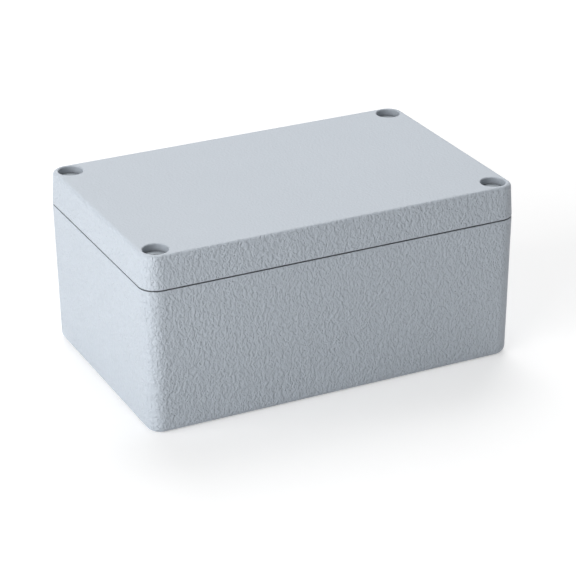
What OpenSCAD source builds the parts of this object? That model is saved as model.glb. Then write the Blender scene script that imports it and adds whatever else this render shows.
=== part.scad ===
// Die-cast aluminium terminal box: a drafted base, a lid on four captive screws, a seal between
// them and an earth terminal inside. Millimetres, +Z up, origin at the centre of the underside.

/* [Box] */
// Length over the parting line
length = 125; // [118:1:180]
// Width over the parting line
width = 80; // [76:1:130]
// Height of the base casting, up to its rim
base_height = 47; // [36:0.2:70]
// Height of the lid casting
lid_height = 10.7; // [9.5:0.1:14]
// Gap that shows between the lid and the base
parting_gap = 0.3; // [0.1:0.05:0.6]
// Rounding of the four upright corners at the parting line
corner_r = 5.6; // [4.6:0.1:7]

/* [Casting] */
// Wall of the base at its rim
wall = 3.2; // [2.8:0.1:3.8]
// Floor of the base
floor_t = 3.6; // [3:0.1:6]
// Top plate of the lid
lid_plate = 2.6; // [2:0.1:3.2]
// Draft of the base's outer faces, in degrees
base_draft = 0.9; // [0.5:0.1:1.5]
// Draft of the lid's outer faces, in degrees
lid_draft = 3.2; // [1:0.1:4]
// Draft inside both castings, in degrees
core_draft = 1; // [0.3:0.1:1.2]
// Rounding of the lid's top edge
top_edge_r = 1.2; // [0.4:0.1:1.6]
// Rounding of the base's bottom edge
base_edge_r = 2.4; // [1.8:0.2:2.6]
// Small rounding on both sides of the parting line
parting_edge_r = 0.35; // [0.1:0.05:0.6]
// Rounding where the inner walls meet the floor and the lid's plate
core_edge_r = 1.2; // [0.4:0.1:1.3]
// Rounding of the cavity's upright corners at the rim
bay_r = 2.6; // [2.4:0.1:2.8]
// Rounding of the corner pillars at the rim
pillar_r = 3.6; // [3:0.1:4]
// Depth of the recess in the underside
foot_recess = 0.6; // [0.2:0.1:1]
// Width of the ledge round that recess
foot_ledge = 11; // [10:0.5:14]

/* [Lid screws] */
// Distance of each lid screw from the box's sides
screw_inset = 6; // [5.8:0.1:6.5]
// Nominal thread of the lid screws
thread_d = 4; // [3:0.5:4]
// Running clearance round each thread
thread_clear = 0.05; // [0.02:0.01:0.1]
// Head diameter
head_d = 7; // [6:0.1:7.2]
// Head height
head_h = 2.6; // [2:0.1:3]
// Length under the head
screw_len = 16; // [13:0.5:20]
// Length of the threaded end
thread_len = 8; // [5:0.5:9]
// Diameter of the waisted shank above the thread
waist_d = 3.1; // [2.4:0.1:3.2]
// Width of the driving slot
slot_w = 1.2; // [0.8:0.1:1.4]
// Depth of the driving slot
slot_depth = 1.3; // [0.8:0.1:1.5]
// How far each head lies below the lid's face
head_sink = 1.9; // [1.5:0.1:2.4]
// Diameter of the counterbore round each head
counterbore_d = 7.8; // [7.6:0.1:8]
// Chamfer at the mouth of each counterbore
mouth_chamfer = 0.25; // [0.1:0.05:0.4]
// Clearance of the lid's hole round the thread
lid_hole_clear = 0.2; // [0.1:0.05:0.3]
// Thickness of the captive washers
retainer_t = 1; // [0.6:0.1:1.4]
// Outer diameter of the captive washers
retainer_d = 6; // [5.4:0.1:6.2]

/* [Seal] */
// Width of the tongue on the base's rim
tongue_w = 1.2; // [0.8:0.1:1.3]
// Height of the tongue
tongue_h = 1.2; // [0.8:0.1:1.6]
// Distance of the tongue from the cavity
tongue_inset = 0.2; // [0.1:0.05:0.3]
// Width of the seal
seal_w = 2.4; // [2:0.1:2.6]
// Height of the seal when clamped
seal_h = 2; // [1.2:0.1:2.4]
// Clearance at each side of the seal in its groove
seal_clear = 0.05; // [0.02:0.01:0.1]
// Thickness of the groove's inner wall
groove_wall = 1.2; // [0.8:0.1:1.4]

/* [Wall fixing] */
// Distance of each wall screw from the lid screw beside it
wall_screw_offset = 8; // [7.8:0.1:10]
// Diameter of the wall screw holes
wall_hole_d = 4.5; // [3.5:0.1:5]
// Diameter of the wells that the wall screws drop into
well_d = 8.2; // [7.6:0.1:8.4]
// Metal under each well
well_floor = 5; // [4:0.5:8]
// Metal between each well and the cavity
well_wall = 2; // [1.6:0.1:2.4]

/* [Floor bosses] */
// Distance of the floor bosses from the end walls' outer faces
boss_inset_x = 17.5; // [17:0.5:30]
// Distance of the floor bosses from the long walls' outer faces
boss_inset_y = 15; // [10:0.5:20]
// Diameter of the floor bosses at the top
boss_d = 7; // [6.5:0.1:9]
// Height of the floor bosses
boss_h = 5; // [3:0.5:7]
// Tapping-drill diameter in the floor bosses
boss_tap_d = 3.3; // [2.5:0.1:4]
// Depth of the tapped holes in the floor bosses
boss_tap_depth = 6; // [4:0.5:6.5]

/* [Earth terminal] */
// Distance of the earth terminal from the rear wall's outer face
earth_inset = 12; // [10:0.5:16]
// Diameter of the earth boss at the top
earth_boss_d = 6.2; // [5.6:0.1:6.3]
// Height of the earth boss
earth_boss_h = 4; // [3:0.5:6]
// Length of the earth screw under its head
earth_screw_len = 6; // [5:0.5:6.5]
// Head diameter of the earth screw
earth_head_d = 7.6; // [7:0.1:8]
// Head height of the earth screw
earth_head_h = 2.6; // [2:0.1:3]
// Side of the clamping saddle
saddle_w = 9; // [9:0.1:10]
// Thickness of the saddle's sheet
saddle_t = 1; // [0.7:0.1:1]
// Height of the saddle's turned-down lips
lip_h = 1.6; // [1:0.1:2]
// Thickness of the spring washer
spring_t = 0.9; // [0.7:0.1:1.1]
// Outer diameter of the spring washer
spring_d = 7.2; // [6.8:0.1:7.6]

/* [Hidden] */

$fn = 96;
cut = 1;            // how far a cutting tool runs past the face that it opens
arc_steps = 6;      // straight pieces in each rounded edge's section
grid = 0.001;       // grid of the sections' points
tip_room = 2;       // drilled depth past the tip of a lid screw
earth_room = 0.5;   // drilled depth past the tip of the earth screw
tip_chamfer = 0.6;  // chamfer on a screw's tip
head_edge_r = 0.5;  // rounding of a screw head's top edge
slot_turns = [-20, -34, -31, -15]; // angles of the lid screws' slots from X
split_turn = -60;   // angle of the spring washer's split from X
earth_turn = 35;    // angle of the earth screw's slot from X
wing_share = [0.3, 0.75]; // span of the cross wing at its bottom and above the head, as shares of the head
washer_clear = 0.1; // clearance round each captive washer in its seat
corner_left = 0.1;  // radius left at a corner inside its foot's rounding
pocket_wall = 1.4;  // metal round the pockets in the lid's corners
saddle_bend_r = 0.3; // inner bend of the saddle's lips
drill_point = 0.3;  // height of a drilled point, as a share of the hole's diameter
recess_draft = 30;  // slope of the underside recess's edge, in degrees from upright
coat = "#c3cad2";
steel = "#a9acb0";

// Positions that follow from the sizes above
screw_x = length / 2 - screw_inset;
screw_y = width / 2 - screw_inset;
wall_y = screw_y - wall_screw_offset;
pillar_x = screw_x - well_d / 2 - well_wall;
pillar_y = wall_y - well_d / 2 - well_wall;
boss_x = length / 2 - boss_inset_x;
boss_y = width / 2 - boss_inset_y;
earth_y = width / 2 - earth_inset;

// Heights from the underside
lid_z = base_height + parting_gap;
top_z = lid_z + lid_height;
head_z = top_z - head_sink - head_h;
seal_z = base_height + tongue_h;
groove_top = seal_z + seal_h;
earth_top = floor_t + earth_boss_h;
tap_depth = base_height - (head_z - screw_len) + tip_room;
earth_tap_depth = earth_screw_len - saddle_t - spring_t + earth_room;

// How far each line of the seal lies outside the cavity's outline
tongue_mid = tongue_inset + tongue_w / 2;
seal_in = tongue_mid - seal_w / 2;
seal_out = tongue_mid + seal_w / 2;
hollow_in = seal_in - groove_wall;

// Inner roundings, which can't be larger than the corner that they run round
base_core_h = base_height - floor_t;
lid_core_h = lid_height - lid_plate;
base_core_r = min(core_edge_r, bay_r - base_core_h * tan(core_draft) - corner_left);
lid_core_r = min(core_edge_r, bay_r + hollow_in - lid_core_h * tan(core_draft) - corner_left);

// ---- Sections and blocks -------------------------------------------------------------------

// Points on an arc about [x, z], from one angle to another
function arc(x, z, r, from, to) =
    [for (i = [0:arc_steps]) let (a = from + (to - from) * i / arc_steps) [x + r * cos(a), z + r * sin(a)]];

// Section of a drafted face: it starts at reach on z = 0 and leans inwards up to z = h,
// with a rounding at its foot and one at its far end, either of which may be 0. Its points lie on
// a fine grid, so that straight runs and corners made from one section meet exactly.
function face_section(reach, h, draft, foot_r, end_r) =
    let (lean = tan(draft), back = 1 / cos(draft))
    on_grid(concat(
        foot_r > 0 ? arc(reach - foot_r * (lean + back), foot_r, foot_r, -90, draft) : [[reach, 0]],
        end_r > 0 ? arc(reach - (h - end_r) * lean - end_r * back, h - end_r, end_r, draft, 90)
                  : [[reach - h * lean, h]]
    ));

function on_grid(points) = [for (p = points) [round(p.x / grid) * grid, round(p.y / grid) * grid]];

// The section closed back to its own axis
function half_outline(section, h) = concat([[0, 0]], section, [[0, h]]);

// The section on both sides of an axis, each pushed outwards by shift
function full_outline(section, shift) = concat(
    [for (p = section) [shift + p.x, p.y]],
    [for (i = [len(section) - 1:-1:0]) [-shift - section[i].x, section[i].y]]
);

// Straight run of a section along X or along Y, which reaches outwards from its axis
module run_x(from, to, outline) {
    translate([from, 0, 0]) rotate([90, 0, 90]) linear_extrude(to - from) polygon(outline);
}
module run_y(from, to, outline) {
    translate([0, to, 0]) rotate([90, 0, 0]) linear_extrude(to - from) polygon(outline);
}

// Quarter turn of a section about an upright axis
module quarter(section, h) {
    rotate_extrude(angle = 90) polygon(half_outline(section, h));
}

module both_ends() {
    children();
    mirror([1, 0, 0]) children();
}
module four_corners() {
    both_ends() {
        children();
        mirror([0, 1, 0]) children();
    }
}

// Rounded block whose faces lean inwards from z = 0 up to z = h
module drafted_block(l, w, r, h, draft, foot_r = 0, end_r = 0) {
    section = face_section(r, h, draft, foot_r, end_r);
    x = l / 2 - r;
    y = w / 2 - r;
    run_x(-x, x, full_outline(section, y));
    both_ends() translate([x, 0, 0]) run_y(-y, y, half_outline(section, h));
    four_corners() translate([x, y, 0]) quarter(section, h);
}

// Block on the cavity's outline, which passes inside the four corner pillars. The outline is
// grown outwards by grow, and the faces lean inwards from z = 0 up to z = h. The roundings keep
// their centres, so every outline of the seal runs parallel to the cavity's.
module bay_block(grow, h, draft = 0, end_r = 0) {
    section = face_section(bay_r + grow, h, draft, 0, end_r);
    long_y = width / 2 - wall - bay_r;
    end_x = length / 2 - wall - bay_r;
    mid_x = pillar_x - bay_r;
    end_y = pillar_y - bay_r;
    turn_x = pillar_x + pillar_r;
    turn_y = pillar_y + pillar_r;
    pillar_section = [for (p = section) [pillar_r + bay_r - p.x, p.y]];

    // the middle, as wide as the long walls allow
    run_x(-mid_x, mid_x, full_outline(section, long_y));
    four_corners() {
        translate([mid_x, 0, 0]) run_y(turn_y, long_y, half_outline(section, h));
        translate([mid_x, long_y, 0]) quarter(section, h);
        translate([end_x, end_y, 0]) quarter(section, h);
    }
    both_ends() {
        // past the pillars' rounded corners
        difference() {
            translate([mid_x, -turn_y, 0]) cube([turn_x - mid_x, 2 * turn_y, h]);
            for (side = [-1, 1]) translate([turn_x, side * turn_y, 0])
                rotate_extrude() polygon(half_outline(pillar_section, h));
        }
        // the end bays, between the pillars
        run_x(turn_x, end_x, full_outline(section, end_y));
        translate([end_x, 0, 0]) run_y(-end_y, end_y, half_outline(section, h));
    }
}

// Blind hole down from z = 0, with a drilled point
module drilled_hole(d, depth) {
    translate([0, 0, -depth]) cylinder(d = d, h = depth + cut);
    translate([0, 0, -depth - d * drill_point]) cylinder(d1 = 0, d2 = d, h = d * drill_point);
}

// Small chamfer on the mouth of a hole at z = 0
module hole_mouth(d) {
    translate([0, 0, -mouth_chamfer]) cylinder(d1 = d, d2 = d + 4 * mouth_chamfer, h = 2 * mouth_chamfer);
}

// ---- Base ----------------------------------------------------------------------------------

module base_shell() {
    difference() {
        union() {
            translate([0, 0, base_height]) mirror([0, 0, 1])
                drafted_block(length, width, corner_r, base_height, base_draft, parting_edge_r, base_edge_r);
            translate([0, 0, base_height]) bay_block(tongue_inset + tongue_w, tongue_h);
        }
        translate([0, 0, base_height]) {
            mirror([0, 0, 1]) bay_block(0, base_core_h, core_draft, base_core_r);
            bay_block(tongue_inset, tongue_h + cut);
        }
        drafted_block(length - 2 * foot_ledge, width - 2 * foot_ledge, bay_r, foot_recess, recess_draft);
    }
}

// Cast boss that narrows upwards by the core's draft
module cast_boss(d, h) {
    translate([0, 0, floor_t - cut]) cylinder(d1 = d + 2 * (h + cut) * tan(core_draft), d2 = d, h = h + cut);
}

module base_casting() color(coat) {
    difference() {
        union() {
            base_shell();
            four_corners() translate([boss_x, boss_y, 0]) cast_boss(boss_d, boss_h);
            translate([0, earth_y, 0]) cast_boss(earth_boss_d, earth_boss_h);
        }
        four_corners() {
            // tapped holes for the lid screws
            translate([screw_x, screw_y, base_height]) {
                drilled_hole(thread_d + 2 * thread_clear, tap_depth);
                hole_mouth(thread_d + 2 * thread_clear);
            }
            // wall screw holes, each at the bottom of a well
            translate([screw_x, wall_y, -cut]) cylinder(d = wall_hole_d, h = well_floor + 2 * cut);
            translate([screw_x, wall_y, well_floor]) cylinder(d = well_d, h = base_height);
            translate([boss_x, boss_y, floor_t + boss_h]) drilled_hole(boss_tap_d, boss_tap_depth);
        }
        translate([0, earth_y, earth_top]) drilled_hole(thread_d + 2 * thread_clear, earth_tap_depth);
    }
}

// ---- Lid -----------------------------------------------------------------------------------

// Through hole from a counterbore in the lid's face down to a washer's seat in its boss
module lid_screw_hole() {
    translate([0, 0, base_height - cut]) cylinder(d = thread_d + 2 * lid_hole_clear, h = lid_height);
    translate([0, 0, head_z]) cylinder(d = counterbore_d, h = head_h + head_sink + cut);
    translate([0, 0, top_z]) hole_mouth(counterbore_d);
    translate([0, 0, base_height - cut])
        cylinder(d = retainer_d + 2 * washer_clear, h = retainer_t + washer_clear + cut);
}

// Pocket under the lid's corner, over the wall screw's well
module corner_pocket() {
    from = [pillar_x + seal_out + pocket_wall, pillar_y + seal_out + pocket_wall];
    to = [length / 2 - wall, screw_y - counterbore_d / 2 - pocket_wall];
    size = to - from;
    translate([(from.x + to.x) / 2, (from.y + to.y) / 2, lid_z])
        drafted_block(size.x, size.y, pocket_wall, lid_core_h, core_draft, 0, pocket_wall / 2);
}

module lid_casting() color(coat) {
    difference() {
        union() {
            translate([0, 0, lid_z])
                drafted_block(length, width, corner_r, lid_height, lid_draft, parting_edge_r, top_edge_r);
            // bosses that stand on the base's pillars
            four_corners() translate([screw_x, screw_y, base_height])
                cylinder(d = counterbore_d, h = parting_gap + cut);
        }
        translate([0, 0, lid_z]) {
            bay_block(hollow_in, lid_core_h, core_draft, lid_core_r);
            // groove for the seal
            difference() {
                bay_block(seal_out, groove_top - lid_z);
                bay_block(seal_in, groove_top - lid_z);
            }
        }
        four_corners() {
            translate([screw_x, screw_y, 0]) lid_screw_hole();
            corner_pocket();
        }
    }
}

module lid_seal() color("#2f3133") {
    translate([0, 0, seal_z]) difference() {
        bay_block(seal_out - seal_clear, seal_h);
        bay_block(seal_in + seal_clear, seal_h);
    }
}

// ---- Screws and washers --------------------------------------------------------------------

// Slot across a screw's head
module head_slot(d) {
    translate([-d, -slot_w / 2, -slot_depth]) cube([2 * d, slot_w, slot_depth + cut]);
}

// Shorter wing across the slot, for a cross-head driver
module cross_wing(d) {
    intersection() {
        translate([-slot_w / 2, -d, -slot_depth]) cube([slot_w, 2 * d, slot_depth + cut]);
        translate([0, 0, -slot_depth])
            cylinder(d1 = d * wing_share.x, d2 = d * wing_share.y, h = slot_depth + cut);
    }
}

// Captive screw: the thread is at its end only, and the waisted shank turns in a washer
module captive_screw() color(steel) {
    thread_r = thread_d / 2;
    waist_r = waist_d / 2;
    thread_top = thread_len - screw_len;
    difference() {
        rotate_extrude() polygon(concat(
            [[0, -screw_len], [thread_r - tip_chamfer, -screw_len], [thread_r, tip_chamfer - screw_len],
             [thread_r, thread_top], [waist_r, thread_top + thread_r - waist_r], [waist_r, 0],
             [head_d / 2, 0]],
            arc(head_d / 2 - head_edge_r, head_h - head_edge_r, head_edge_r, 0, 90),
            [[0, head_h]]
        ));
        translate([0, 0, head_h]) head_slot(head_d);
    }
}

module captive_washer() color("#d8d6cc") {
    difference() {
        cylinder(d = retainer_d, h = retainer_t);
        translate([0, 0, -cut]) cylinder(d = waist_d + 2 * thread_clear, h = retainer_t + 2 * cut);
    }
}

// Place of a lid screw's seat, for the sides given as -1 or 1
module at_screw(side_x, side_y, z) {
    translate([side_x * screw_x, side_y * screw_y, z]) children();
}

module lid_screw_front_left() at_screw(-1, -1, head_z) rotate(slot_turns[0]) captive_screw();
module lid_screw_front_right() at_screw(1, -1, head_z) rotate(slot_turns[1]) captive_screw();
module lid_screw_rear_left() at_screw(-1, 1, head_z) rotate(slot_turns[2]) captive_screw();
module lid_screw_rear_right() at_screw(1, 1, head_z) rotate(slot_turns[3]) captive_screw();

module captive_washer_front_left() at_screw(-1, -1, base_height + washer_clear) captive_washer();
module captive_washer_front_right() at_screw(1, -1, base_height + washer_clear) captive_washer();
module captive_washer_rear_left() at_screw(-1, 1, base_height + washer_clear) captive_washer();
module captive_washer_rear_right() at_screw(1, 1, base_height + washer_clear) captive_washer();

// ---- Earth terminal ------------------------------------------------------------------------

module at_earth(z) {
    translate([0, earth_y, z]) children();
}

module earth_screw() color(steel) {
    thread_r = thread_d / 2;
    at_earth(earth_top + saddle_t + spring_t) difference() {
        rotate_extrude() polygon(concat(
            [[0, -earth_screw_len], [thread_r - tip_chamfer, -earth_screw_len],
             [thread_r, tip_chamfer - earth_screw_len], [thread_r, 0], [earth_head_d / 2, 0]],
            arc(earth_head_d / 2 - 2 * head_edge_r, earth_head_h - 2 * head_edge_r, 2 * head_edge_r, 0, 90),
            [[0, earth_head_h]]
        ));
        translate([0, 0, earth_head_h]) rotate(earth_turn) {
            head_slot(earth_head_d);
            cross_wing(earth_head_d);
        }
    }
}

// Split spring washer, pressed flat under the head
module earth_spring_washer() color(steel) {
    at_earth(earth_top + saddle_t) difference() {
        cylinder(d = spring_d, h = spring_t);
        translate([0, 0, -cut]) cylinder(d = thread_d + 2 * lid_hole_clear, h = spring_t + 2 * cut);
        rotate(split_turn) translate([0, -spring_t / 4, -cut]) cube([spring_d, spring_t / 2, spring_t + 2 * cut]);
    }
}

// Clamping saddle: a square of sheet with two lips turned down beside the boss
module earth_saddle() color("#c8b87a") {
    outer_r = saddle_t + saddle_bend_r;
    bend_x = saddle_w / 2 - outer_r;
    bend_z = saddle_t - outer_r;
    at_earth(earth_top) difference() {
        run_y(-saddle_w / 2, saddle_w / 2, concat(
            [[saddle_w / 2, -lip_h]],
            arc(bend_x, bend_z, outer_r, 0, 90),
            arc(-bend_x, bend_z, outer_r, 90, 180),
            [[-saddle_w / 2, -lip_h], [saddle_t - saddle_w / 2, -lip_h]],
            arc(-bend_x, bend_z, saddle_bend_r, 180, 90),
            arc(bend_x, bend_z, saddle_bend_r, 90, 0),
            [[saddle_w / 2 - saddle_t, -lip_h]]
        ));
        translate([0, 0, -cut]) cylinder(d = thread_d + 2 * lid_hole_clear, h = saddle_t + 2 * cut);
    }
}

base_casting();
lid_casting();
lid_seal();
lid_screw_front_left();
lid_screw_front_right();
lid_screw_rear_left();
lid_screw_rear_right();
captive_washer_front_left();
captive_washer_front_right();
captive_washer_rear_left();
captive_washer_rear_right();
earth_screw();
earth_spring_washer();
earth_saddle();
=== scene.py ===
import math

import bpy
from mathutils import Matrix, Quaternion, Vector


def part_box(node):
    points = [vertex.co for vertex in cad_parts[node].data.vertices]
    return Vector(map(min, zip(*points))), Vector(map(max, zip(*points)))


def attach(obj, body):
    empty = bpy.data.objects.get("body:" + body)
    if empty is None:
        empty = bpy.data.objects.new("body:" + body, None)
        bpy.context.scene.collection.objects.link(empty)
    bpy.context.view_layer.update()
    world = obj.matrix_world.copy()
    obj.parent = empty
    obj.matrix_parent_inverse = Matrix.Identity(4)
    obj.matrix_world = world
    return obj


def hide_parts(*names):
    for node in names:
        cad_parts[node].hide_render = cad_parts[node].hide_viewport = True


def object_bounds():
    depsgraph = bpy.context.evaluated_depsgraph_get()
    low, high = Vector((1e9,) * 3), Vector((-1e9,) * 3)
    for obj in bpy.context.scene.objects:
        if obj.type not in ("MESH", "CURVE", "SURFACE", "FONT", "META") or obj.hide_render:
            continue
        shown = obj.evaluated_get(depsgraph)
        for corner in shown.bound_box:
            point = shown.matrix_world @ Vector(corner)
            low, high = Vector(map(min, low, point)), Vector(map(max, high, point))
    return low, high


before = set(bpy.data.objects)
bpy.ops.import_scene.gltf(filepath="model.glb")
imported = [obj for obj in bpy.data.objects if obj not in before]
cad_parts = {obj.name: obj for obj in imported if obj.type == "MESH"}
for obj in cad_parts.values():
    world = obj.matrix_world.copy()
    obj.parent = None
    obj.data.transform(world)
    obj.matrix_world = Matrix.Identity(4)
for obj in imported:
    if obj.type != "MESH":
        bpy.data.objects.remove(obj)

cad_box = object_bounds()

# ---- Sizes and places, in metres -----------------------------------------------------------

MM = 0.001

# Angle of each lid screw's slot from X, in degrees, by corner
SLOT_TURNS = {"front_left": -20, "front_right": -34, "rear_left": -31, "rear_right": -15}
EARTH_SLOT_TURN = 35


def middle(node):
    """The middle of a CAD node's box, which is a point on the axis of a turned piece."""
    low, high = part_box(node)
    return (low + high) / 2


base_low, base_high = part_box("base_casting")
lid_low, lid_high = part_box("lid_casting")
screw_low, screw_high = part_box("lid_screw_rear_right")
screw_axis = middle("lid_screw_rear_right")
earth_low, earth_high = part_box("earth_screw")
earth_axis = middle("earth_screw")

THREAD_R = 2.0 * MM
THREAD_PITCH = 0.7 * MM
THREAD_DEPTH = 0.43 * MM
THREAD_CREST = 0.09 * MM
THREAD_FLANK = math.radians(30)
CORE_R = THREAD_R - THREAD_DEPTH
TIP_CHAMFER = 0.6 * MM
HEAD_HEIGHT = 2.6 * MM
SLOT_WIDTH = 1.2 * MM
SLOT_DEPTH = 1.3 * MM

LID_THREAD_LENGTH = 8 * MM
LID_WAIST_R = 1.55 * MM
LID_HEAD_R = 3.5 * MM
LID_HEAD_EDGE_R = 0.5 * MM
EARTH_THREAD_LENGTH = 5 * MM
EARTH_HEAD_R = 3.8 * MM
EARTH_HEAD_EDGE_R = 1.0 * MM

COUNTERBORE_R = 3.9 * MM
JOINT_GAP = 0.3 * MM
# How far inside the outer faces the bare alloy starts: at the walls, and at the floor and the top
WALL_SKIN = 2.8 * MM
PLATE_SKIN = 1.3 * MM
# Reach of a mask past the face that it covers
MASK_ROOM = 0.05 * MM
joint_z = lid_low.z + JOINT_GAP / 2
head_seat = screw_high.z - HEAD_HEIGHT


# ---- Shader helpers ------------------------------------------------------------------------

class Nodes:
    """Adds nodes to one tree and joins them."""

    def __init__(self, tree):
        self.tree = tree

    def add(self, kind, **values):
        node = self.tree.nodes.new(kind)
        for name, value in values.items():
            setattr(node, name, value)
        return node

    def join(self, source, target):
        self.tree.links.new(source, target)

    def math(self, operation, a, b=None):
        node = self.add("ShaderNodeMath", operation=operation)
        for socket, value in zip(node.inputs, (a, b)):
            self.feed(socket, value)
        return node.outputs[0]

    def feed(self, socket, value):
        """Joins a socket to another one, or sets its value."""
        if value is None:
            return
        if isinstance(value, bpy.types.NodeSocket):
            self.join(value, socket)
        else:
            socket.default_value = value

    def within(self, value, limit):
        """1 where the value is below the limit, and 0 past it."""
        return self.math("LESS_THAN", value, limit)

    def both(self, a, b):
        return self.math("MULTIPLY", a, b)

    def split(self, vector):
        node = self.add("ShaderNodeSeparateXYZ")
        self.join(vector, node.inputs[0])
        return node.outputs

    def mix(self, factor, low, high):
        node = self.add("ShaderNodeMix", data_type="RGBA")
        self.feed(node.inputs["Factor"], factor)
        self.feed(node.inputs[6], low)
        self.feed(node.inputs[7], high)
        return node.outputs[2]

    def spread(self, value, low, high, start=0.0, end=1.0):
        """Maps a value from start to end on to low to high."""
        node = self.add("ShaderNodeMapRange")
        self.feed(node.inputs["Value"], value)
        node.inputs["From Min"].default_value = start
        node.inputs["From Max"].default_value = end
        node.inputs["To Min"].default_value = low
        node.inputs["To Max"].default_value = high
        return node.outputs[0]

    def stretched(self, vector, scale):
        node = self.add("ShaderNodeMapping")
        self.join(vector, node.inputs["Vector"])
        node.inputs["Scale"].default_value = scale
        return node.outputs[0]

    def noise(self, vector, scale, detail=2.0, roughness=0.5, distortion=0.0):
        node = self.add("ShaderNodeTexNoise")
        self.join(vector, node.inputs["Vector"])
        self.feed(node.inputs["Scale"], scale)
        node.inputs["Detail"].default_value = detail
        node.inputs["Roughness"].default_value = roughness
        node.inputs["Distortion"].default_value = distortion
        return node.outputs["Fac"]


def rgb(red, green, blue):
    """A screen colour, 0 to 255, as the linear colour that a shader takes."""
    def linear(v):
        v /= 255
        return v / 12.92 if v <= 0.04045 else ((v + 0.055) / 1.055) ** 2.4
    return linear(red), linear(green), linear(blue), 1.0


def new_group(name, inputs, outputs):
    """An empty shader node group, its helper, and its input and output nodes."""
    tree = bpy.data.node_groups.new(name, "ShaderNodeTree")
    for socket, kind, value in inputs:
        made = tree.interface.new_socket(socket, in_out="INPUT", socket_type="NodeSocket" + kind)
        if value is not None:
            made.default_value = value
    for socket, kind in outputs:
        tree.interface.new_socket(socket, in_out="OUTPUT", socket_type="NodeSocket" + kind)
    helper = Nodes(tree)
    return helper, helper.add("NodeGroupInput").outputs, helper.add("NodeGroupOutput").inputs


def material(name, color, roughness, metallic=0.0, **sockets):
    """A Principled material with its constants on the shader's own sockets."""
    made = bpy.data.materials.new(name)
    made.use_nodes = True
    helper = Nodes(made.node_tree)
    shader = made.node_tree.nodes["Principled BSDF"]
    shader.inputs["Base Color"].default_value = color
    shader.inputs["Roughness"].default_value = roughness
    shader.inputs["Metallic"].default_value = metallic
    for socket, value in sockets.items():
        shader.inputs[socket.replace("_", " ")].default_value = value
    place = helper.add("ShaderNodeTexCoord").outputs["Object"]
    return made, helper, shader, place


def grouped(helper, tree, place, **values):
    """Places a node group in a material with its own values."""
    node = helper.add("ShaderNodeGroup", node_tree=tree)
    helper.join(place, node.inputs["Place"])
    for socket, value in values.items():
        helper.feed(node.inputs[socket.replace("_", " ")], value)
    return node.outputs


def bump(helper, shader, height, distance):
    node = helper.add("ShaderNodeBump")
    node.inputs["Strength"].default_value = 1.0
    node.inputs["Distance"].default_value = distance
    helper.join(height, node.inputs["Height"])
    helper.join(node.outputs["Normal"], shader.inputs["Normal"])


# ---- Node groups ---------------------------------------------------------------------------

def wrinkle_group():
    """Wrinkles of a textured powder coat: short crinkled ridges that run a little upright."""
    helper, given, gives = new_group(
        "powder_wrinkle",
        [("Place", "Vector", None), ("Ridges a Metre", "Float", 1150.0)],
        [("Height", "Float"), ("Mottle", "Float")])
    upright = helper.stretched(given["Place"], (1.0, 1.0, 0.75))
    ridge = helper.noise(upright, given["Ridges a Metre"], 1.0, 0.4, 0.6)
    helper.join(helper.spread(ridge, 0.0, 1.0, 0.3, 0.7), gives["Height"])
    helper.join(helper.noise(given["Place"], 45.0, 3.0, 0.6), gives["Mottle"])
    return helper.tree


def turned_group():
    """How far a point lies from the axis that a piece was turned or drilled about, and the marks
    that the tool left round it. The axis is given for the right rear, and serves all corners."""
    helper, given, gives = new_group(
        "turned_marks",
        [("Place", "Vector", None), ("Axis", "Vector", None), ("Marks a Metre", "Float", 5000.0)],
        [("Reach", "Float"), ("Marks", "Float"), ("Mottle", "Float")])
    place, axis = helper.split(given["Place"]), helper.split(given["Axis"])
    off = [helper.math("SUBTRACT", helper.math("ABSOLUTE", place[side]), axis[side]) for side in "XY"]
    reach = helper.math("SQRT", helper.math("ADD", *[helper.both(way, way) for way in off]))
    helper.join(reach, gives["Reach"])
    ring = helper.add("ShaderNodeCombineXYZ")
    helper.join(reach, ring.inputs["X"])
    helper.join(place["Z"], ring.inputs["Z"])
    helper.join(helper.noise(ring.outputs[0], given["Marks a Metre"], 2.0), gives["Marks"])
    helper.join(helper.noise(given["Place"], 900.0, 2.0), gives["Mottle"])
    return helper.tree


def zones_group():
    """Which part of a casting is bare: its inside, the faces of the joint, which also carry painted
    shade, and the counterbores.
    """
    helper, given, gives = new_group(
        "casting_zones",
        [("Place", "Vector", None), ("Reach", "Float", 1.0)],
        [("Inside", "Float"), ("Joint_Painted_Shade", "Float"), ("Counterbore", "Float")])
    place = helper.split(given["Place"])
    inside = helper.both(
        helper.within(helper.math("ABSOLUTE", place["X"]), base_high.x - WALL_SKIN),
        helper.within(helper.math("ABSOLUTE", place["Y"]), base_high.y - WALL_SKIN))
    half_height = (lid_high.z - base_low.z) / 2
    off_middle = helper.math("ABSOLUTE", helper.math("SUBTRACT", place["Z"], half_height))
    inside = helper.both(inside, helper.within(off_middle, half_height - PLATE_SKIN))
    bore = helper.both(
        helper.within(given["Reach"], COUNTERBORE_R + MASK_ROOM),
        helper.math("GREATER_THAN", place["Z"], head_seat - MASK_ROOM))
    helper.join(helper.both(inside, helper.math("SUBTRACT", 1.0, bore)), gives["Inside"])
    # the faces of the joint, where shade is painted into the parting line
    off_joint = helper.math("ABSOLUTE", helper.math("SUBTRACT", place["Z"], joint_z))
    helper.join(helper.within(off_joint, JOINT_GAP / 2 + MASK_ROOM), gives["Joint_Painted_Shade"])
    helper.join(bore, gives["Counterbore"])
    return helper.tree


POWDER_WRINKLE = wrinkle_group()
TURNED_MARKS = turned_group()
CASTING_ZONES = zones_group()


# ---- Materials -----------------------------------------------------------------------------

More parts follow.
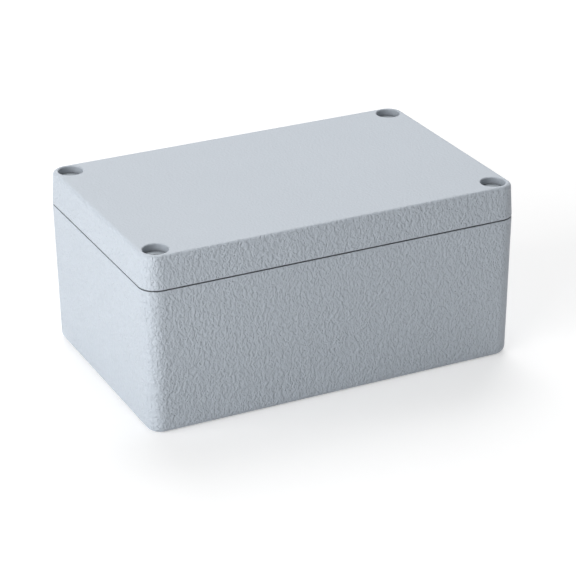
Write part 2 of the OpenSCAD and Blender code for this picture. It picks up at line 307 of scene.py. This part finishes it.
def coat_material():
    """Wrinkle powder coat outside, bare alloy inside and where the castings are machined, with painted
    shade on the faces of the joint.
    """
    made, helper, shader, place = material("wrinkle_powder_coat", rgb(187, 195, 204), 0.5)
    wrinkle = grouped(helper, POWDER_WRINKLE, place)
    turned = grouped(helper, TURNED_MARKS, place, Axis=screw_axis, Marks_a_Metre=2500.0)
    zones = grouped(helper, CASTING_ZONES, place, Reach=turned["Reach"])
    coat = helper.mix(wrinkle["Mottle"], rgb(185, 193, 202), rgb(189, 197, 206))
    flow = helper.noise(helper.stretched(place, (1.0, 1.0, 0.4)), 160.0, 4.0, 0.6, 1.2)
    alloy = helper.mix(helper.spread(flow, 0.0, 1.0, 0.3, 0.7), rgb(160, 163, 166), rgb(178, 181, 184))
    bored = helper.mix(turned["Marks"], rgb(172, 179, 187), rgb(184, 191, 199))
    color = helper.mix(zones["Inside"], coat, alloy)
    # the faces of the joint are bare alloy, painted darker than the rest of the alloy as shade in the
    # parting line
    color = helper.mix(zones["Joint_Painted_Shade"], color, rgb(122, 126, 130))
    color = helper.mix(zones["Counterbore"], color, bored)
    helper.join(color, shader.inputs["Base Color"])
    bare = helper.math("MAXIMUM", zones["Inside"], zones["Counterbore"])
    helper.join(helper.spread(zones["Inside"], 0.0, 0.4), shader.inputs["Metallic"])
    # the wrinkles are shallow on level faces
    facing = helper.split(helper.add("ShaderNodeNewGeometry").outputs["True Normal"])["Z"]
    depth = helper.spread(facing, 1.0, 0.2, 0.6, 0.95)
    ridges = helper.both(wrinkle["Height"], depth)
    cast = helper.spread(flow, 0.0, 0.5)
    height = helper.add("ShaderNodeMix", data_type="FLOAT")
    helper.feed(height.inputs["Factor"], bare)
    helper.feed(height.inputs[2], ridges)
    helper.feed(height.inputs[3], cast)
    bump(helper, shader, height.outputs[0], 0.24 * MM)
    return made


def steel_material(name, axis, dark, light, roughness):
    """Turned steel with the tool's marks round the piece's own axis."""
    made, helper, shader, place = material(name, light, roughness, metallic=1.0)
    turned = grouped(helper, TURNED_MARKS, place, Axis=axis)
    tone = helper.math("ADD", helper.both(turned["Marks"], 0.6), helper.both(turned["Mottle"], 0.4))
    shade = helper.spread(tone, 0.0, 1.0, 0.3, 0.7)
    helper.join(helper.mix(shade, dark, light), shader.inputs["Base Color"])
    helper.join(
        helper.spread(turned["Mottle"], roughness - 0.06, roughness + 0.08, 0.3, 0.7),
        shader.inputs["Roughness"])
    bump(helper, shader, turned["Marks"], 0.02 * MM)
    return made


def nylon_material():
    """Natural nylon, slightly cloudy, with the marks of the die that it was punched in."""
    made, helper, shader, place = material("natural_nylon", (0.70, 0.69, 0.63, 1), 0.42)
    turned = grouped(helper, TURNED_MARKS, place, Axis=screw_axis, Marks_a_Metre=3000.0)
    cloud = helper.spread(helper.noise(place, 700.0, 3.0), 0.0, 1.0, 0.3, 0.7)
    helper.join(
        helper.mix(cloud, (0.64, 0.63, 0.56, 1), (0.74, 0.73, 0.68, 1)), shader.inputs["Base Color"])
    helper.join(helper.spread(cloud, 0.38, 0.5), shader.inputs["Roughness"])
    bump(helper, shader, turned["Marks"], 0.015 * MM)
    return made


def rubber_material():
    """Matt black moulded rubber with a bloom of talc."""
    made, helper, shader, place = material("moulded_rubber", (0.03, 0.031, 0.033, 1), 0.8)
    talc = helper.spread(helper.noise(place, 220.0, 5.0, 0.7), 0.0, 1.0, 0.5, 0.75)
    helper.join(
        helper.mix(talc, (0.024, 0.025, 0.027, 1), (0.075, 0.076, 0.078, 1)), shader.inputs["Base Color"])
    helper.join(helper.spread(talc, 0.68, 0.92), shader.inputs["Roughness"])
    bump(helper, shader, helper.noise(place, 5000.0, 2.0), 0.02 * MM)
    return made


def brass_material():
    """Rolled brass sheet: fine lines along the strip, and tarnish in patches."""
    made, helper, shader, place = material("rolled_brass", (0.62, 0.47, 0.20, 1), 0.32, metallic=1.0)
    lines = helper.noise(helper.stretched(place, (0.04, 1.0, 1.0)), 9000.0, 3.0, 0.6)
    tarnish = helper.spread(helper.noise(place, 350.0, 4.0, 0.6), 0.0, 1.0, 0.45, 0.7)
    color = helper.mix(lines, (0.56, 0.42, 0.17, 1), (0.68, 0.52, 0.24, 1))
    color = helper.mix(helper.both(tarnish, 0.6), color, (0.36, 0.25, 0.10, 1))
    helper.join(color, shader.inputs["Base Color"])
    helper.join(helper.spread(tarnish, 0.26, 0.48), shader.inputs["Roughness"])
    bump(helper, shader, lines, 0.01 * MM)
    return made


def dress(node, made):
    """Puts one material on the whole of a CAD node."""
    for part_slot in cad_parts[node].material_slots:
        part_slot.material = made


stainless = steel_material(
    "turned_stainless", screw_axis, (0.16, 0.175, 0.19, 1), (0.24, 0.26, 0.28, 1), 0.55)
zinc_plated = steel_material(
    "zinc_plated_steel", earth_axis, (0.50, 0.50, 0.49, 1), (0.66, 0.66, 0.64, 1), 0.34)
blackened = steel_material(
    "spring_steel", earth_axis, (0.10, 0.10, 0.10, 1), (0.20, 0.20, 0.20, 1), 0.38)
coat = coat_material()
nylon = nylon_material()

for name in ("base_casting", "lid_casting"):
    dress(name, coat)
for corner in SLOT_TURNS:
    dress("captive_washer_" + corner, nylon)
dress("lid_seal", rubber_material())
dress("earth_saddle", brass_material())
dress("earth_spring_washer", blackened)


# ---- Screws --------------------------------------------------------------------------------

SIDES = 48
# How far the foot of the thread's ridge sinks into the core
FOOT_SINK = 0.04 * MM
# Room by which the trimming cone clears the ridge
TRIM_ROOM = 0.1 * MM
# Least height of the step from the core to the waist
WAIST_STEP = 0.05 * MM
# Width of the dulled edges
DULL_EDGE = 0.06 * MM


def turned_blank(name, steps, edge_r=0.0):
    """A turned piece on the Z axis, drawn up from its lower end, with its top edge rounded."""
    (radius, z), *rings = steps
    bpy.ops.object.select_all(action="DESELECT")
    bpy.ops.mesh.primitive_circle_add(
        vertices=SIDES, radius=radius, fill_type="NGON", location=(0, 0, z))
    blank = bpy.context.object
    blank.name = name
    bpy.ops.object.transform_apply()
    bpy.ops.object.mode_set(mode="EDIT")
    bpy.ops.mesh.select_all(action="SELECT")
    for next_radius, next_z in rings:
        bpy.ops.mesh.extrude_region_move(TRANSFORM_OT_translate={"value": (0, 0, next_z - z)})
        spread = next_radius / radius
        bpy.ops.transform.resize(value=(spread, spread, 1), center_override=(0, 0, next_z))
        radius, z = next_radius, next_z
    if edge_r:
        bpy.ops.mesh.bevel(offset=edge_r, segments=5, affect="EDGES")
    bpy.ops.mesh.select_all(action="SELECT")
    bpy.ops.mesh.normals_make_consistent(inside=False)
    bpy.ops.object.mode_set(mode="OBJECT")
    return blank


def combine(piece, other, operation):
    """Joins another solid to a piece, or cuts it with one, and takes the other away."""
    made = piece.modifiers.new("combine", "BOOLEAN")
    made.operation = operation
    made.solver = "EXACT"
    made.object = other
    bpy.ops.object.select_all(action="DESELECT")
    bpy.context.view_layer.objects.active = piece
    bpy.ops.object.modifier_apply(modifier=made.name)
    bpy.data.objects.remove(other)


def thread_ridge(low, high):
    """The ridge of the thread, wound up the Z axis, with both of its ends trimmed to a cone."""
    foot_r = CORE_R - FOOT_SINK
    rise = THREAD_R - foot_r
    foot_width = THREAD_CREST + 2 * rise * math.tan(THREAD_FLANK)
    bpy.ops.object.select_all(action="DESELECT")
    bpy.ops.mesh.primitive_plane_add(
        size=1.0, rotation=(math.pi / 2, 0, 0), location=((foot_r + THREAD_R) / 2, 0, low - THREAD_PITCH))
    ridge = bpy.context.object
    ridge.scale = (rise, foot_width, 1)
    bpy.ops.object.transform_apply()
    # the outer side of the section is drawn in to the width of the crest
    for vertex in ridge.data.vertices:
        vertex.select = vertex.co.x > foot_r + rise / 2
    for edge in ridge.data.edges:
        edge.select = all(ridge.data.vertices[end].select for end in edge.vertices)
    ridge.data.polygons[0].select = False
    bpy.ops.object.mode_set(mode="EDIT")
    bpy.ops.transform.resize(
        value=(1, 1, THREAD_CREST / foot_width), center_override=(THREAD_R, 0, low - THREAD_PITCH))
    bpy.ops.object.mode_set(mode="OBJECT")
    wind = ridge.modifiers.new("wind", "SCREW")
    wind.axis = "Z"
    wind.screw_offset = THREAD_PITCH
    wind.iterations = math.ceil((high - low) / THREAD_PITCH) + 2
    wind.steps = wind.render_steps = SIDES
    wind.use_merge_vertices = False
    bpy.ops.object.modifier_apply(modifier=wind.name)
    bpy.ops.object.mode_set(mode="EDIT")
    bpy.ops.mesh.select_all(action="SELECT")
    bpy.ops.mesh.remove_doubles(threshold=0.001 * MM)
    bpy.ops.mesh.fill_holes(sides=4)
    bpy.ops.mesh.select_all(action="SELECT")
    bpy.ops.mesh.normals_make_consistent(inside=False)
    bpy.ops.object.mode_set(mode="OBJECT")
    trim = turned_blank("thread_trim", [
        (THREAD_R - TIP_CHAMFER, low),
        (THREAD_R + TRIM_ROOM, low + TIP_CHAMFER + TRIM_ROOM),
        (THREAD_R + TRIM_ROOM, high - THREAD_DEPTH),
        (CORE_R - TRIM_ROOM, high + TRIM_ROOM),
    ])
    combine(ridge, trim, "INTERSECT")
    return ridge


def block(size, place, turn=0.0):
    """A straight cutter of the given size, turned about the Z axis."""
    bpy.ops.object.select_all(action="DESELECT")
    bpy.ops.mesh.primitive_cube_add(size=1.0, location=place, rotation=(0, 0, turn))
    cutter = bpy.context.object
    cutter.scale = size
    bpy.ops.object.transform_apply()
    return cutter


def turned_screw(name, low, high, thread_top, waist_r, head_r, edge_r, wings=False):
    """A slotted screw on the Z axis with its slot along X, and a cross recess where it has wings."""
    seat = high - HEAD_HEIGHT
    screw = turned_blank(name, [
        (THREAD_R - TIP_CHAMFER, low),
        (CORE_R, low + CORE_R - THREAD_R + TIP_CHAMFER),
        (CORE_R, thread_top),
        (waist_r, thread_top + abs(CORE_R - waist_r) + WAIST_STEP),
        (waist_r, seat),
        (head_r, seat),
        (head_r, high),
    ], edge_r)
    combine(screw, block((3 * head_r, SLOT_WIDTH, 2 * SLOT_DEPTH), (0, 0, high)), "DIFFERENCE")
    if wings:
        # a square cone that widens upwards, narrowed to a slot across the first one
        bpy.ops.object.select_all(action="DESELECT")
        bpy.ops.mesh.primitive_cone_add(
            vertices=4, radius1=0.5 * head_r, radius2=0.8 * head_r, depth=2 * SLOT_DEPTH,
            location=(0, 0, high), rotation=(0, 0, math.pi / 4))
        wing = bpy.context.object
        bpy.ops.object.transform_apply()
        wing.scale.x = SLOT_WIDTH / head_r
        bpy.ops.object.transform_apply()
        combine(screw, wing, "DIFFERENCE")
    dull = screw.modifiers.new("dull", "BEVEL")
    dull.width = DULL_EDGE
    dull.segments = 2
    dull.limit_method = "ANGLE"
    dull.angle_limit = math.radians(50)
    bpy.ops.object.select_all(action="DESELECT")
    bpy.context.view_layer.objects.active = screw
    bpy.ops.object.modifier_apply(modifier=dull.name)
    combine(screw, thread_ridge(low, thread_top), "UNION")
    return screw


def set_screw(screw, axis, turn, body, node, made):
    """Turns a screw about its own axis, sets it on the axis of its hole, and dresses it."""
    screw.location = (axis.x, axis.y, 0)
    screw.rotation_euler = (0, 0, math.radians(turn))
    bpy.ops.object.select_all(action="DESELECT")
    screw.select_set(True)
    bpy.context.view_layer.objects.active = screw
    bpy.ops.object.transform_apply()
    bpy.ops.object.shade_smooth_by_angle(angle=math.radians(30))
    screw.data.materials.clear()
    screw.data.materials.append(made)
    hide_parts(node)
    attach(screw, body)


master = turned_screw(
    "captive_screw", screw_low.z, screw_high.z, screw_low.z + LID_THREAD_LENGTH,
    LID_WAIST_R, LID_HEAD_R, LID_HEAD_EDGE_R)
for corner, turn in SLOT_TURNS.items():
    screw = master.copy()
    screw.data = master.data.copy()
    screw.name = "captive_screw_" + corner
    bpy.context.scene.collection.objects.link(screw)
    node = "lid_screw_" + corner
    set_screw(screw, middle(node), turn, "screw_" + corner, node, stainless)
bpy.data.objects.remove(master)

earth = turned_screw(
    "earth_terminal_screw", earth_low.z, earth_high.z, earth_low.z + EARTH_THREAD_LENGTH,
    CORE_R, EARTH_HEAD_R, EARTH_HEAD_EDGE_R, wings=True)
set_screw(earth, earth_axis, EARTH_SLOT_TURN, "base", "earth_screw", zinc_plated)


# ---- Floor, light and camera ---------------------------------------------------------------

FLOOR_SIDE = 12.0
# The floor's tone in the light that it throws back, and as it is seen, with the lift to white
FLOOR_BOUNCE = 0.8
FLOOR_SEEN = 0.75
FLOOR_LIFT = 0.4
WORLD_LIGHT = 0.27


def seen_directly(helper):
    """1 for what the camera sees, also in a reflection or through glass."""
    path = helper.add("ShaderNodeLightPath").outputs
    seen = helper.math("MAXIMUM", path["Is Camera Ray"], path["Is Glossy Ray"])
    return helper.math("MAXIMUM", seen, path["Is Transmission Ray"])


def floor_material():
    """Lifted to white where it is seen, and a plain pale grey to the light that it throws back."""
    made, helper, shader, _ = material("pale_floor", (0.8, 0.8, 0.8, 1), 0.9, Specular_IOR_Level=0.0)
    seen = seen_directly(helper)
    tone = helper.mix(seen, (FLOOR_BOUNCE,) * 3 + (1,), (FLOOR_SEEN,) * 3 + (1,))
    helper.join(tone, shader.inputs["Base Color"])
    # the lift leaves only the shadow under the box to stand out
    shader.inputs["Emission Color"].default_value = (1, 1, 1, 1)
    helper.join(helper.both(seen, FLOOR_LIFT), shader.inputs["Emission Strength"])
    return made


def lay_floor():
    bpy.ops.object.select_all(action="DESELECT")
    bpy.ops.mesh.primitive_plane_add(size=FLOOR_SIDE, location=(0, 0, 0))
    floor = bpy.context.object
    floor.name = "floor"
    floor.data.materials.append(floor_material())


def set_world():
    world = bpy.data.worlds.new("studio")
    bpy.context.scene.world = world
    world.use_nodes = True
    helper = Nodes(world.node_tree)
    background = world.node_tree.nodes["Background"]
    background.inputs["Color"].default_value = (1, 1, 1, 1)
    helper.join(helper.spread(seen_directly(helper), WORLD_LIGHT, 1.0), background.inputs["Strength"])


# Each softbox: the way to it from the box, its distance and side in metres, and its strength,
# where a small and distant one of 1 shows a colour as it is written on a face turned to it
SOFTBOXES = {
    "left_softbox": (Vector((-0.96, -0.26, 0.15)), 0.65, 0.8, 1.6),
    "top_softbox": (Vector((0.25, 0.55, 0.79)), 1.2, 0.9, 0.59),
}


def hang_softbox(name, way, distance, side, strength):
    data = bpy.data.lights.new(name, "AREA")
    data.shape = "SQUARE"
    data.size = side
    data.energy = strength * (math.pi * distance) ** 2
    lamp = bpy.data.objects.new(name, data)
    bpy.context.scene.collection.objects.link(lamp)
    way = way.normalized()
    lamp.location = (cad_box[0] + cad_box[1]) / 2 + way * distance
    lamp.rotation_euler = way.to_track_quat("Z", "Y").to_euler()


CAMERA_AZIMUTH = -25.93
CAMERA_ELEVATION = 24.89
CAMERA_ROLL = -0.39
CAMERA_DISTANCE = 698.5 * MM
CAMERA_TARGET = Vector((-1.74, -8.62, 23.58)) * MM
CAMERA_LENS = 139.0


def set_camera():
    data = bpy.data.cameras.new("camera")
    data.lens = CAMERA_LENS
    data.sensor_width = 36.0
    data.clip_start = 0.05
    data.clip_end = 20.0
    camera = bpy.data.objects.new("camera", data)
    bpy.context.scene.collection.objects.link(camera)
    turn, rise = math.radians(CAMERA_AZIMUTH), math.radians(CAMERA_ELEVATION)
    back = Vector((math.sin(turn) * math.cos(rise), -math.cos(turn) * math.cos(rise), math.sin(rise)))
    camera.location = CAMERA_TARGET + back * CAMERA_DISTANCE
    roll = Quaternion(back, math.radians(CAMERA_ROLL))
    camera.rotation_mode = "QUATERNION"
    camera.rotation_quaternion = roll @ back.to_track_quat("Z", "Y")
    bpy.context.scene.camera = camera


lay_floor()
set_world()
for name, values in SOFTBOXES.items():
    hang_softbox(name, *values)
set_camera()

bpy.context.scene.view_settings.view_transform = "Standard"
